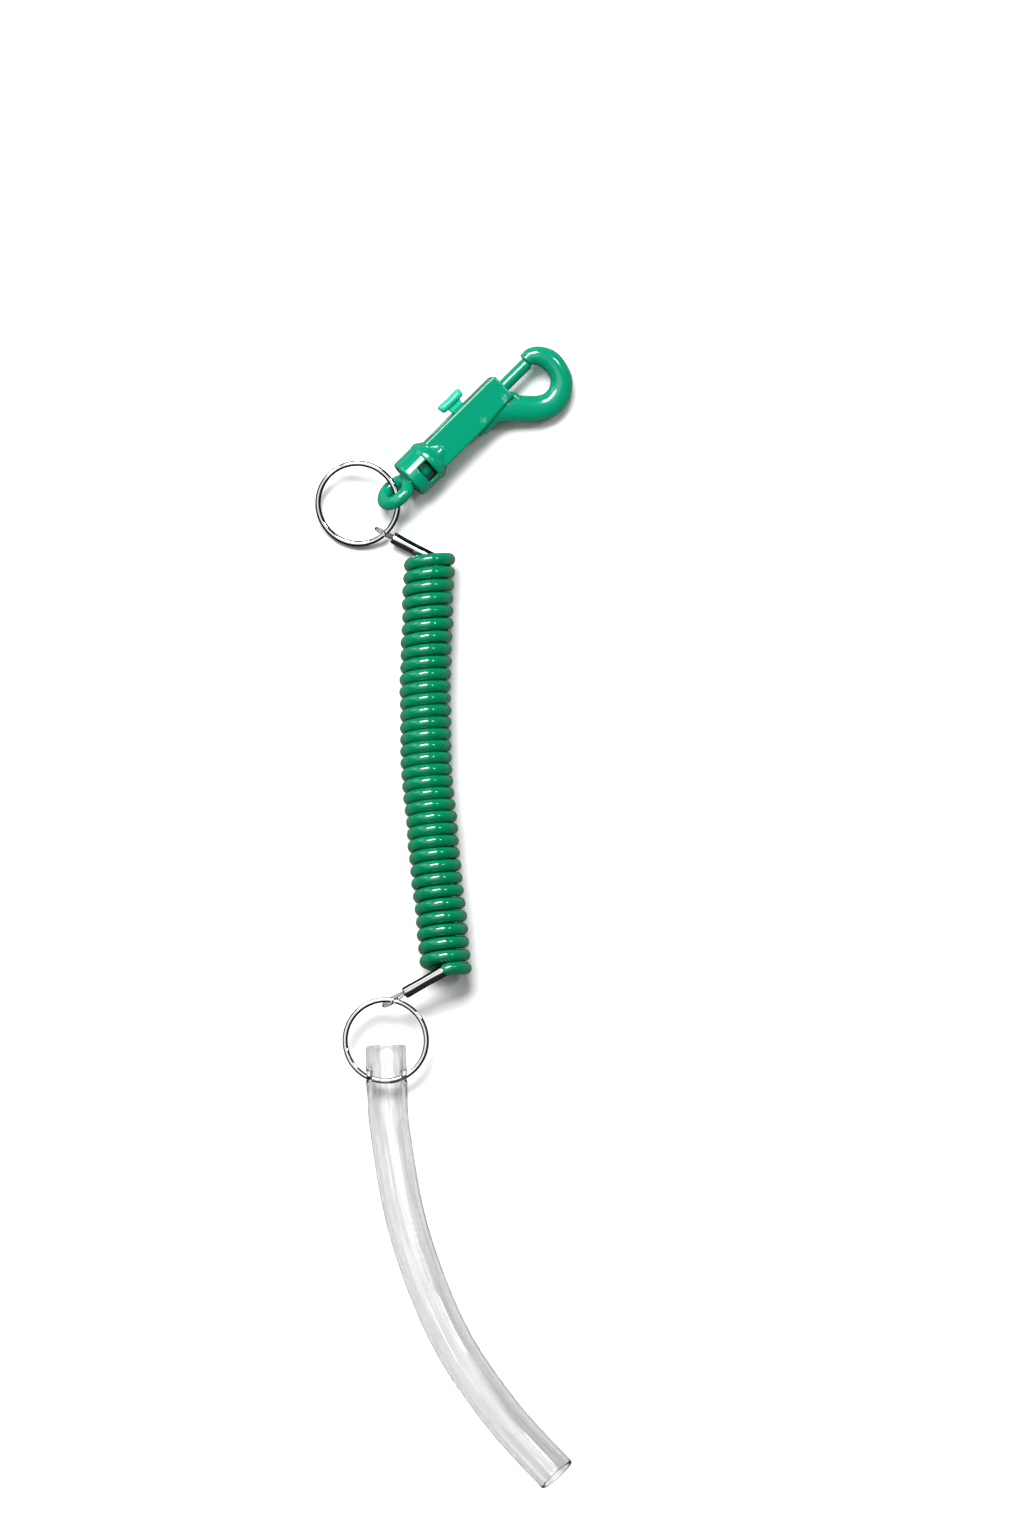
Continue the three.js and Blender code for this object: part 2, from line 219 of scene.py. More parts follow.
def coil_middle(y):
    """The coil's own axis, which bows a little, at a place along it."""
    route = coil_route
    if y >= route[0][1]:
        first, second = route[0], route[1]
    elif y <= route[-1][1]:
        first, second = route[-2], route[-1]
    else:
        first, second = next((a, b) for a, b in zip(route, route[1:]) if a[1] >= y >= b[1])
    share = (first[1] - y) / (first[1] - second[1])
    return first[0] + (second[0] - first[0]) * share


def smooth_middle(y):
    reach = 0.008
    return sum(coil_middle(y + reach * k / 4) for k in range(-4, 5)) / 9


def coil_point(turn, wobble):
    """A point of the cord's centre line, counted in turns from its first pass over the top of the coil."""
    share = turn / coil_turns
    along = share + 0.055 * math.sin(2 * math.pi * share) / (2 * math.pi)
    y = coil_top_y + (coil_bottom_y - coil_top_y) * along
    angle = math.pi / 2 + 2 * math.pi * turn
    sideways, swell = wobble(turn)
    radius = coil_radius + swell
    x = smooth_middle(y) + sideways + radius * math.cos(angle)
    return Vector((x, y, coil_height + radius * math.sin(angle)))


def uneven_turns(seed):
    """Small smooth drifts of the turns, as a wound coil has."""
    draw = random.Random(seed)
    waves = [(draw.uniform(0.1, 0.55), draw.uniform(0, 6.28), draw.uniform(0, 6.28)) for _ in range(5)]

    def wobble(turn):
        sideways = sum(math.sin(2 * math.pi * rate * turn + a) for rate, a, _ in waves)
        swell = sum(math.sin(2 * math.pi * rate * turn + b) for rate, _, b in waves)
        return 0.000045 * sideways, -0.00002 - 0.00001 * abs(swell)

    return wobble


def bezier(a, b, c, d, count):
    for step in range(count):
        t = step / count
        yield a * (1 - t) ** 3 + b * 3 * t * (1 - t) ** 2 + c * 3 * t * t * (1 - t) + d * t**3


first_turn, last_turn = -0.25, coil_turns - 0.16
wobble = uneven_turns(7)
count = round((last_turn - first_turn) * steps_per_turn)
turns = [first_turn + (last_turn - first_turn) * i / count for i in range(count + 1)]
winding = [coil_point(turn, wobble) for turn in turns]
start_pull = (winding[1] - winding[0]).normalized() * 0.0028
end_pull = (winding[-1] - winding[-2]).normalized() * 0.0026
cord_path = list(
    bezier(top_end[2], top_end[2] + top_end[1] * 0.0030, winding[0] - start_pull, winding[0], 12)
)
cord_path += winding[:-1]
cord_path += bezier(
    winding[-1], winding[-1] + end_pull, bottom_end[2] + bottom_end[1] * 0.0024, bottom_end[2], 12
)
cord_path.append(bottom_end[2])


def line_object(name, points, level):
    """A curve of one open spline through the points; a level line keeps its section upright."""
    curve = bpy.data.curves.new(name, "CURVE")
    curve.dimensions = "3D"
    curve.twist_mode = "Z_UP" if level else "MINIMUM"
    spline = curve.splines.new("POLY")
    spline.points.add(len(points) - 1)
    for place, point in zip(spline.points, points):
        place.co = (*point, 1)
    line = bpy.data.objects.new(name, curve)
    bpy.context.collection.objects.link(line)
    return line


def sweep_tree(name):
    """Geometry Nodes that run a round or an oval section along a line and close its ends."""
    tree = bpy.data.node_groups.new(name, "GeometryNodeTree")
    tree.interface.new_socket("Line", in_out="INPUT", socket_type="NodeSocketGeometry")
    tree.interface.new_socket("Width", in_out="INPUT", socket_type="NodeSocketFloat")
    tree.interface.new_socket("Height", in_out="INPUT", socket_type="NodeSocketFloat")
    tree.interface.new_socket("Sides", in_out="INPUT", socket_type="NodeSocketInt")
    tree.interface.new_socket("Finish", in_out="INPUT", socket_type="NodeSocketMaterial")
    tree.interface.new_socket("Mesh", in_out="OUTPUT", socket_type="NodeSocketGeometry")
    nodes, links = tree.nodes, tree.links
    given = nodes.new("NodeGroupInput").outputs
    along = nodes.new("GeometryNodeStoreNamedAttribute")
    along.data_type = "FLOAT"
    along.domain = "POINT"
    along.inputs["Name"].default_value = "along"
    links.new(given["Line"], along.inputs["Geometry"])
    links.new(nodes.new("GeometryNodeSplineParameter").outputs["Factor"], along.inputs["Value"])
    circle = nodes.new("GeometryNodeCurvePrimitiveCircle")
    circle.inputs["Radius"].default_value = 0.5
    links.new(given["Sides"], circle.inputs["Resolution"])
    oval = nodes.new("ShaderNodeCombineXYZ")
    oval.inputs["Z"].default_value = 1
    links.new(given["Width"], oval.inputs["X"])
    links.new(given["Height"], oval.inputs["Y"])
    section = nodes.new("GeometryNodeTransform")
    links.new(circle.outputs["Curve"], section.inputs["Geometry"])
    links.new(oval.outputs["Vector"], section.inputs["Scale"])
    sweep = nodes.new("GeometryNodeCurveToMesh")
    sweep.inputs["Fill Caps"].default_value = True
    links.new(along.outputs["Geometry"], sweep.inputs["Curve"])
    links.new(section.outputs["Geometry"], sweep.inputs["Profile Curve"])
    merged = nodes.new("GeometryNodeMergeByDistance")
    merged.inputs["Distance"].default_value = 0.000002
    real = nodes.new("GeometryNodeRealizeInstances")
    finish = nodes.new("GeometryNodeSetMaterial")
    result = nodes.new("NodeGroupOutput")
    links.new(sweep.outputs["Mesh"], merged.inputs["Geometry"])
    links.new(merged.outputs["Geometry"], real.inputs["Geometry"])
    links.new(real.outputs["Geometry"], finish.inputs["Geometry"])
    links.new(given["Finish"], finish.inputs["Material"])
    links.new(finish.outputs["Geometry"], result.inputs["Mesh"])
    return tree


wire_sweep = sweep_tree("wire_sweep")


def mesh_of(source, name):
    """The evaluated result of an object's modifiers, as a plain object in its place."""
    bpy.context.view_layer.update()
    evaluated = source.evaluated_get(bpy.context.evaluated_depsgraph_get())
    mesh = bpy.data.meshes.new_from_object(evaluated)
    mesh.name = name
    bpy.data.objects.remove(source)
    result = bpy.data.objects.new(name, mesh)
    bpy.context.collection.objects.link(result)
    return result


def swept(name, points, material, width, height, sides, level=False):
    line = line_object(f"{name}_line", points, level)
    modifier = line.modifiers.new("sweep", "NODES")
    modifier.node_group = wire_sweep
    values = {"Width": width, "Height": height, "Sides": sides, "Finish": material}
    for item in wire_sweep.interface.items_tree:
        if item.in_out == "INPUT" and item.name in values:
            modifier[item.identifier] = values[item.name]
    return shade_smooth(mesh_of(line, name))


def shade_smooth(piece, sharp_degrees=50):
    piece.data.shade_smooth()
    mesh = bmesh.new()
    mesh.from_mesh(piece.data)
    limit = math.radians(sharp_degrees)
    for edge in mesh.edges:
        edge.smooth = len(edge.link_faces) == 2 and edge.calc_face_angle(0) < limit
    mesh.to_mesh(piece.data)
    mesh.free()
    return piece


def plastic(name, colour, deep_colour, roughness, coat, milkiness, grain):
    """Glossy plastic: its colour drifts a little, and a faint flow and grain lie in the surface."""
    material = bpy.data.materials.new(name)
    shader = Shader(material)
    place = shader.node("ShaderNodeTexCoord", output=3)
    drift = shader.node(
        "ShaderNodeTexNoise", {}, {"Vector": place, "Scale": 95.0, "Detail": 3.0, "Roughness": 0.55}
    )
    fine = shader.node(
        "ShaderNodeTexNoise", {}, {"Vector": place, "Scale": 2600.0, "Detail": 2.0, "Roughness": 0.5}
    )
    shade = shader.node(
        "ShaderNodeMix",
        {"data_type": "RGBA"},
        {0: drift, 6: (*deep_colour, 1), 7: (*colour, 1)},
        output=2,
    )
    bump = shader.node(
        "ShaderNodeBump",
        {},
        {"Strength": 1.0, "Distance": 0.00001 * grain, "Height": fine * 0.35 + drift * 3.0},
    )
    surface = shader.tree.nodes["Principled BSDF"]
    shader.put(surface.inputs["Base Color"], shade)
    shader.put(surface.inputs["Roughness"], roughness + fine * 0.08)
    shader.put(surface.inputs["Normal"], bump)
    surface.inputs["Coat Weight"].default_value = coat
    surface.inputs["Coat Roughness"].default_value = 0.03
    surface.inputs["Subsurface Weight"].default_value = milkiness
    surface.inputs["Subsurface Radius"].default_value = (0.3, 1.0, 0.6)
    surface.inputs["Subsurface Scale"].default_value = 0.002
    return material


vinyl = plastic(
    "green_vinyl", (0.0, 0.205, 0.088), (0.0, 0.180, 0.076), 0.08, coat=0.6, milkiness=0.12, grain=0.3
)
cord = swept("coil_cord_visual", cord_path, vinyl, cord_diameter, cord_diameter, sides=18)
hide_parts("coil_cord")
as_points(cord_path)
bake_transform(cord)
# each point's share along the cord is read out, and the attribute is then taken off the mesh
spread = [0.0] * len(cord.data.vertices)
cord.data.attributes["along"].data.foreach_get("value", spread)
cord.data.attributes.remove(cord.data.attributes["along"])


# ---- Bolt snap body ----------------------------------------------------------------------------------------
# One glossy green moulding: a round curved arm that ends in a nose, a long square housing for the bolt, and a
# barrel with a window through it that holds the swivel. The mould leaves soft fillets at every junction.
swivel_turn = joints["swivel_turn"]
hook_along = Vector(swivel_turn["axis"])
hook_level = Vector((-hook_along.y, hook_along.x, 0))
hook_roll = math.radians(12)
hook_across = Matrix.Rotation(hook_roll, 3, hook_along) @ hook_level
hook_out = hook_along.cross(hook_across)
swivel_behind_front = 0.0363
hook_front = Vector(swivel_turn["pos_m"]) + hook_along * swivel_behind_front
hook_frame = Matrix((hook_along, hook_across, hook_out)).transposed().to_4x4()
hook_frame.translation = hook_front
mm = 0.001


def solid(name, points, faces):
    """A closed mesh object from points in millimetres, faced outwards."""
    mesh = bpy.data.meshes.new(name)
    mesh.from_pydata([Vector(point) * mm for point in points], [], faces)
    work = bmesh.new()
    work.from_mesh(mesh)
    bmesh.ops.remove_doubles(work, verts=work.verts, dist=0.000001)
    bmesh.ops.recalc_face_normals(work, faces=work.faces)
    work.to_mesh(mesh)
    work.free()
    piece = bpy.data.objects.new(name, mesh)
    bpy.context.collection.objects.link(piece)
    return piece


def skin(rings, closed=False):
    """Faces between rings of points, with a cap on each end unless the rings close on themselves."""
    sides = len(rings[0])
    points = [point for ring in rings for point in ring]
    faces = []
    for i in range(len(rings) if closed else len(rings) - 1):
        after = (i + 1) % len(rings)
        for j in range(sides):
            beside = (j + 1) % sides
            faces.append(
                (i * sides + j, i * sides + beside, after * sides + beside, after * sides + j)
            )
    if not closed:
        faces.append(tuple(range(sides)))
        faces.append(tuple(range((len(rings) - 1) * sides, len(rings) * sides)))
    return points, faces


def turned(name, profile, sides=64):
    """A shape turned about the X axis from (x, radius) pairs."""
    rings = []
    for x, radius in profile:
        spokes = [2 * math.pi * j / sides for j in range(sides)]
        rings.append([(x, radius * math.cos(a), radius * math.sin(a)) for a in spokes])
    return solid(name, *skin(rings))


def box(name, low, high):
    corners = [(x, y, z) for x in (low[0], high[0]) for y in (low[1], high[1]) for z in (low[2], high[2])]
    faces = [(0, 1, 3, 2), (4, 6, 7, 5), (0, 4, 5, 1), (2, 3, 7, 6), (0, 2, 6, 4), (1, 5, 7, 3)]
    return solid(name, corners, faces)


def spline_value(stations, t):
    """Catmull-Rom through the rows of a table, at t from 0 to 1."""
    place = t * (len(stations) - 1)
    i = min(int(place), len(stations) - 2)
    u = place - i
    rows = [stations[max(0, min(len(stations) - 1, i + k))] for k in (-1, 0, 1, 2)]
    values = []
    for a, b, c, d in zip(*rows):
        cubic = (3 * b - a - 3 * c + d) * u**3 + (2 * a - 5 * b + 4 * c - d) * u * u + (c - a) * u
        values.append(b + cubic / 2)
    return values


def curved_bar(name, stations, steps, sides, squareness):
    """A bar along a flat curve from rows of x, y, width and thickness."""
    rings = []
    for i in range(steps + 1):
        x, y, width, thickness = spline_value(stations, i / steps)
        before = spline_value(stations, max(0, i / steps - 0.004))
        after = spline_value(stations, min(1, i / steps + 0.004))
        along = Vector((after[0] - before[0], after[1] - before[1])).normalized()
        ring = []
        for j in range(sides):
            angle = 2 * math.pi * j / sides
            aside = math.copysign(abs(math.cos(angle)) ** squareness, math.cos(angle)) * width / 2
            high = math.copysign(abs(math.sin(angle)) ** squareness, math.sin(angle)) * thickness / 2
            ring.append((x - along.y * aside, y + along.x * aside, high))
        rings.append(ring)
    return solid(name, *skin(rings))


def flat_block(name, outline, thickness, edge):
    """An outline given a thickness, with its edges rounded by a bevel."""
    low = [(x, y, -thickness / 2) for x, y in outline]
    high = [(x, y, thickness / 2) for x, y in outline]
    piece = solid(name, *skin([low, high]))
    bevel = piece.modifiers.new("edges", "BEVEL")
    bevel.width = edge * mm
    bevel.segments = 4
    bevel.limit_method = "ANGLE"
    return mesh_of(piece, name)


def combine(piece, others, operation):
    """Joins others to the piece, or cuts them out of it."""
    for other in others:
        boolean = piece.modifiers.new("boolean", "BOOLEAN")
        boolean.operation = operation
        boolean.solver = "EXACT"
        boolean.object = other
        piece = mesh_of(piece, piece.name)
        bpy.data.objects.remove(other)
    return piece


def moulded(piece, name, voxel, smoothing, material):
    """Runs a fine even skin over a joined shape and eases its corners, as a mould does."""
    remesh = piece.modifiers.new("skin", "REMESH")
    remesh.mode = "VOXEL"
    remesh.voxel_size = voxel * mm
    remesh.use_smooth_shade = True
    ease = piece.modifiers.new("ease", "SMOOTH")
    ease.factor = 0.5
    ease.iterations = smoothing
    result = mesh_of(piece, name)
    result.data.shade_smooth()
    result.data.materials.clear()
    result.data.materials.append(material)
    return result


moulding_green = plastic(
    "moulded_green", (0.0, 0.262, 0.142), (0.0, 0.245, 0.131), 0.11, coat=0.5, milkiness=0.08, grain=0.6
)



def add_scuffs_and_painted_glints(material, spots):
    """Pale marks, thickest at the given places: scratches where the moulding has been knocked, which also
    paint in the glints of small dents there.
    """
    shader = Shader(material)
    surface = shader.tree.nodes["Principled BSDF"]
    place = shader.node("ShaderNodeTexCoord", output=3)
    stretched = shader.node(
        "ShaderNodeVectorMath", {"operation": "MULTIPLY"}, {0: place, 1: (1.0, 0.35, 1.0)}
    )
    scratch = shader.node(
        "ShaderNodeTexNoise", {}, {"Vector": stretched, "Scale": 1500.0, "Detail": 3.0, "Distortion": 1.5}
    )
    nearness = 0
    for spot, reach in spots:
        away = shader.node(
            "ShaderNodeVectorMath", {"operation": "DISTANCE"}, {0: place, 1: spot}, output=1
        )
        close = shader.node("ShaderNodeMapRange", {}, {0: away, 1: reach, 2: 0.0})
        nearness = close + nearness
    scuff_and_glint_marks = shader.node(
        "ShaderNodeMapRange", {}, {0: scratch * nearness**0.5, 1: 0.40, 2: 0.62, 4: 0.75}
    )
    shade = Term(shader, surface.inputs["Base Color"].links[0].from_socket)
    # the pale green below is partly scuff wear and partly a painted highlight of small dents
    scuffed_and_glinting = shader.node(
        "ShaderNodeMix", {"data_type": "RGBA"}, {0: scuff_and_glint_marks, 6: shade, 7: (0.25, 0.52, 0.42, 1)}, output=2
    )
    shader.put(surface.inputs["Base Color"], scuffed_and_glinting)


front_corner = hook_frame @ (Vector((-1.9, -2.3, 4.1)) * mm)
mid_face = hook_frame @ (Vector((-10.6, -2.4, 4.1)) * mm)
add_scuffs_and_painted_glints(moulding_green, [(front_corner, 0.0026), (mid_face, 0.0022)])

arm_stations = [
    (10.8, 0.8, 4.4, 5.0), (11.5, 0.8, 4.4, 5.0), (11.75, 0.75, 4.1, 4.7), (12.8, 0.6, 5.0, 5.2),
    (14.7, -1.0, 5.6, 5.7), (16.0, -4.1, 6.2, 6.0),
    (15.8, -7.7, 6.1, 6.2), (14.2, -11.0, 6.4, 6.2), (10.9, -13.1, 6.8, 6.2), (7.0, -13.3, 7.3, 6.2),
    (3.5, -11.5, 7.5, 6.2), (0.3, -8.4, 7.6, 6.2), (-2.6, -5.6, 7.4, 6.2), (-6.5, -3.4, 7.0, 6.2),
    (-12.5, -3.0, 6.6, 6.2),
]
housing_outline = [
    (0.9, 4.3), (-0.1, 4.6), (-28.0, 4.6), (-28.0, -4.6), (-14.0, -4.6), (-4.0, -3.9), (0.9, -3.6),
]
shoulder_outline = [(-3, -2.4), (1.9, -2.4), (2.5, -5.8), (3.4, -8.6), (-3, -8.6)]
barrel_profile = [
    (-36.3, 0.01), (-36.3, 5.1), (-38.2, 5.1), (-38.2, 5.8), (-37.9, 6.1), (-37.4, 6.2), (-30.9, 6.2),
    (-30.6, 6.45), (-29.5, 6.4), (-28.9, 6.1), (-28.2, 5.5), (-27.4, 5.0), (-26.4, 4.7), (-25.0, 4.4),
    (-25.0, 0.01),
]
hook_body = curved_bar("arm", arm_stations, steps=120, sides=40, squareness=0.88)
hook_body = combine(
    hook_body,
    [
        flat_block("housing", housing_outline, 8.3, 0.5),
        turned("barrel", barrel_profile),
        flat_block("shoulder", shoulder_outline, 5.0, 1.3),
        box("root_web", (-13.8, -5.6, -2.6), (-5, -3, 2.6)),
    ],
    "UNION",
)
hook_body = combine(
    hook_body,
    [
        turned("bolt_bore", [(-27.6, 0.01), (-27.6, 2.2), (3, 2.2), (3, 0.01)]),
        box("knob_slot", (-23.5, 0, -1.6), (-10.8, 7, 1.6)),
        turned("head_chamber", [(-34.2, 0.01), (-34.2, 3.7), (-31.0, 3.7), (-31.0, 0.01)]),
        box("window", (-34.5, -4.4, -8), (-30.8, 1.2, 8)),
        turned("shank_bore", [(-38, 0.01), (-38, 2.0), (-32, 2.0), (-32, 0.01)]),
    ],
    "DIFFERENCE",
)
hook_body = moulded(hook_body, "hook_body_visual", 0.24, 3, moulding_green)
hook_body.data.transform(hook_frame)
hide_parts("hook_body")
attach(hook_body, "hook")


# ---- Bolt --------------------------------------------------------------------------------------------------
# The sliding rod and its thumb knob, moulded in one. The knob is thinner, so its green is lighter and a
# little clear. Its stem stands out of the housing's slot and carries a rounded bar.
bolt_green = plastic(
    "bolt_green", (0.0, 0.262, 0.138), (0.0, 0.245, 0.126), 0.10, coat=0.35, milkiness=0.1, grain=0.6
)
knob_green = plastic(
    "knob_green", (0.02, 0.52, 0.33), (0.01, 0.45, 0.27), 0.10, coat=0.4, milkiness=0.4, grain=0.6
)
rod_profile = [
    (-15.5, 0.01), (-15.5, 1.7), (-15.3, 1.9), (10.5, 1.9), (10.75, 1.7), (10.75, 0.01),
]
stem_outline = [(-15.2, 1), (-15.2, 5), (-15.6, 7.6), (-10.7, 7.6), (-11.1, 5), (-11.1, 1)]
knob_bar = [
    (-17.25, 7.7, 1.9, 3.0), (-16.5, 7.8, 2.7, 4.4), (-13.15, 7.75, 2.5, 5.0), (-9.9, 7.8, 2.7, 4.4),
    (-9.1, 7.7, 1.9, 3.0),
]
bolt = combine(
    turned("rod", rod_profile),
    [
        flat_block("stem", stem_outline, 2.5, 0.3),
        curved_bar("knob", knob_bar, steps=40, sides=28, squareness=0.8),
    ],
    "UNION",
)
bolt = moulded(bolt, "bolt_visual", 0.17, 3, bolt_green)
bolt.data.materials.append(knob_green)
knob_starts = 5.2 * mm
for face in bolt.data.polygons:
    face.material_index = int(face.center.y > knob_starts)
bolt.data.transform(hook_frame)
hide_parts("bolt")
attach(bolt, "bolt")


# ---- Bolt spring -------------------------------------------------------------------------------------------
# A short compression spring of bare wire behind the rod, seen only through the knob's slot.
steel = bpy.data.materials.new("spring_wire")
steel_shader = Shader(steel)
steel_surface = steel_shader.tree.nodes["Principled BSDF"]
steel_surface.inputs["Metallic"].default_value = 1
steel_surface.inputs["Base Color"].default_value = (0.5, 0.5, 0.5, 1)
steel_place = steel_shader.node("ShaderNodeTexCoord", output=3)
steel_grain = steel_shader.node("ShaderNodeTexNoise", {}, {"Vector": steel_place, "Scale": 900.0})
steel_shader.put(steel_surface.inputs["Roughness"], 0.2 + steel_grain * 0.2)

spring_front, spring_rear, spring_turns, spring_radius = -15.9, -27.2, 6, 1.6
spring_line = []
for i in range(spring_turns * 24 + 1):
    share = i / (spring_turns * 24)
    angle = 2 * math.pi * spring_turns * share
    x = spring_front + (spring_rear - spring_front) * share
    point = Vector((x, spring_radius * math.cos(angle), spring_radius * math.sin(angle))) * mm
    spring_line.append(hook_frame @ point)
spring_wire = 0.00044
spring = swept("bolt_spring_visual", spring_line, steel, spring_wire, spring_wire, sides=10)
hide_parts("bolt_spring")
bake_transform(spring)


# ---- Swivel eye --------------------------------------------------------------------------------------------
# A green moulded eye with a collar and a headed shank, snapped into the barrel, where it turns freely. Its
# head shows dark through the barrel's window.
eye_centre, eye_radius, eye_wire = -43.2, 4.3, 1.95
eye_roll = math.radians(36 - 12 - 90)
eye_rings = []
for i in range(72):
    around = 2 * math.pi * i / 72
    ring = []
    for j in range(28):
        angle = 2 * math.pi * j / 28
        reach = eye_radius + eye_wire * math.cos(angle)
        point = Vector((reach * math.cos(around), reach * math.sin(around), eye_wire * math.sin(angle)))
        point.rotate(Matrix.Rotation(eye_roll, 3, "X"))
        ring.append((point.x + eye_centre, point.y, point.z))
    eye_rings.append(ring)
stalk_profile = [
    (-39.2, 0.01), (-39.2, 2.3), (-38.4, 3.4), (-37.9, 4.5), (-37.5, 4.75), (-37.1, 4.75), (-36.7, 4.4),
    (-36.7, 1.7), (-34.0, 1.7), (-34.0, 3.4), (-31.4, 3.4), (-31.15, 3.1), (-31.15, 0.01),
]
swivel_eye = combine(
    solid("eye", *skin(eye_rings, closed=True)), [turned("stalk", stalk_profile)], "UNION"
)
swivel_eye = moulded(swivel_eye, "swivel_eye_visual", 0.2, 4, moulding_green)
swivel_eye.data.transform(hook_frame)
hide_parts("swivel_eye")
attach(swivel_eye, "swivel")


# ---- Split rings -------------------------------------------------------------------------------------------
# Each is two turns of flattened wire, nickel plated, lying on each other; half way along, the wire steps
# from the lower turn to the upper one.
ring_radius = 0.01175
wire_width = 0.0015
wire_height = 0.00091

def plated(name, painted_dark_begins, painted_dark_full, painted_edge_dark):
    """Nickel plate with handling marks; its colour is painted near black where the surface turns away from
    the view: a painted dark reflection.
    """
    material = bpy.data.materials.new(name)
    shader = Shader(material)
    surface = shader.tree.nodes["Principled BSDF"]
    surface.inputs["Metallic"].default_value = 1
    # painted reflection: the colour below goes from bright nickel to near black with the angle away from the
    # view, in place of the dark room the metal would mirror
    facing_for_painted_dark_edge = shader.node("ShaderNodeLayerWeight", {}, {"Blend": 0.5}, output=1)
    nickel_with_painted_dark_edge = shader.node(
        "ShaderNodeValToRGB",
        {"stops": [(painted_dark_begins, (0.85, 0.84, 0.82, 1)), (painted_dark_full, (painted_edge_dark, painted_edge_dark, painted_edge_dark, 1))]},
        {0: facing_for_painted_dark_edge},
    )
    place = shader.node("ShaderNodeTexCoord", output=3)
    handling = shader.node(
        "ShaderNodeTexNoise", {}, {"Vector": place, "Scale": 420.0, "Detail": 4.0, "Roughness": 0.6}
    )
    scuff = shader.node(
        "ShaderNodeTexNoise", {}, {"Vector": place, "Scale": 3800.0, "Detail": 2.0, "Roughness": 0.6}
    )
    bump = shader.node("ShaderNodeBump", {}, {"Distance": 0.000002, "Height": scuff + handling})
    shader.put(surface.inputs["Base Color"], nickel_with_painted_dark_edge)
    shader.put(surface.inputs["Roughness"], 0.03 + handling * 0.08)
    shader.put(surface.inputs["Normal"], bump)
    return material


# the rings' nickel carries the painted dark reflection along the wire's edges
ring_nickel_painted_edges = plated("ring_nickel_painted_edges", 0.02, 0.20, painted_edge_dark=0.03)


def split_ring(name, node, body, centre, normal, step_direction):
    """Two turns of wire round centre; the step lies on the side of step_direction."""
    normal = normal.normalized()
    spoke = (step_direction - normal * step_direction.dot(normal)).normalized()
    beside = normal.cross(spoke)
    first, last, steps = math.radians(13), math.radians(707), 260
    line = []
    for i in range(steps + 1):
        angle = first + (last - first) * i / steps
        rise = min(1, max(0, (math.degrees(angle) - 344) / 32))
        rise = rise * rise * (3 - 2 * rise) - 0.5
        line.append(Vector((math.cos(angle), math.sin(angle), 0)) * ring_radius)
        line[-1].z = rise * (wire_height + 0.00002)
    ring = swept(name, line, ring_nickel_painted_edges, wire_width, wire_height, sides=20, level=True)
    turn = Matrix((spoke, beside, normal)).transposed().to_4x4()
    turn.translation = centre
    ring.data.transform(turn)
    ring.data.attributes.remove(ring.data.attributes["along"])
    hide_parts(node)
    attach(ring, body)


def ring_place(first_joint, second_joint):
    """A ring's centre and normal from the wire's directions at two points of it."""
    along, other = Vector(joints[first_joint]["axis"]), Vector(joints[second_joint]["axis"])
    normal = along.cross(other)
    normal = normal.normalized() * (1 if normal.z > 0 else -1)
    return Vector(joints[first_joint]["pos_m"]) - along.cross(normal) * ring_radius, normal


top_centre, top_normal = ring_place("top_ring_swing", "coil_swing")
split_ring(
    "top_split_ring_visual", "top_split_ring", "top_ring", top_centre, top_normal, Vector((-0.6, 0.8, 0))
)
on_bottom_ring = Vector(joints["bottom_ring_swing"]["pos_m"])
bottom_along = Vector(joints["bottom_ring_swing"]["axis"])
bottom_normal = bottom_along.cross(Vector(joints["tube_swing"]["pos_m"]) - on_bottom_ring)
bottom_normal = bottom_normal.normalized() * (1 if bottom_normal.z > 0 else -1)
bottom_centre = on_bottom_ring - bottom_along.cross(bottom_normal) * ring_radius
split_ring(
    "bottom_split_ring_visual",
    "bottom_split_ring",
    "bottom_ring",
    bottom_centre,
    bottom_normal,
    Vector((-0.9, -0.35, 0)),
)


# ---- Crimps ------------------------------------------------------------------------------------------------
# A plated sleeve pressed over the doubled core and the end of the cord, with slightly rolled mouths and the
# shallow flats that the crimping tool leaves.
# the crimps' nickel keeps a wider bright band before its painted dark reflection at the sides
crimp_nickel_painted_edges = plated("crimp_nickel_painted_edges", 0.10, 0.36, painted_edge_dark=0.03)


def crimp(name, node, body, end):
    start, towards, _ = end
    sides, rings = 48, []
    length = crimp_length / mm
    profile = [
        (0.25, 1.32), (0.0, 1.38), (0.0, 1.55), (0.12, 1.66), (0.4, 1.7), (length * 0.18, 1.7),
        (length * 0.3, 1.66), (length * 0.5, 1.65), (length * 0.7, 1.66), (length * 0.82, 1.7),
        (length - 0.4, 1.7), (length - 0.12, 1.66), (length, 1.55), (length, 1.38),
        (length - 0.25, 1.32), (length * 0.5, 1.3),
    ]
    for x, radius in profile:
        pressed = 0.06 * math.exp(-(((x - length / 2) / 2.6) ** 2))
        ring = []
        for j in range(sides):
            angle = 2 * math.pi * j / sides
            reach = radius - pressed * (0.5 + 0.5 * math.cos(6 * angle))
            ring.append((x, reach * math.cos(angle), reach * math.sin(angle)))
        rings.append(ring)
    sleeve = solid(name, *skin(rings, closed=True))
    turn = Vector((1, 0, 0)).rotation_difference(towards).to_matrix().to_4x4()
    turn.translation = start
    sleeve.data.transform(turn)
    sleeve.data.materials.append(crimp_nickel_painted_edges)
    shade_smooth(sleeve, 40)
    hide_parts(node)
    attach(sleeve, body)


crimp("top_crimp_visual", "top_crimp", "coil_top", top_end)
crimp("bottom_crimp_visual", "bottom_crimp", "coil_bottom", bottom_end)


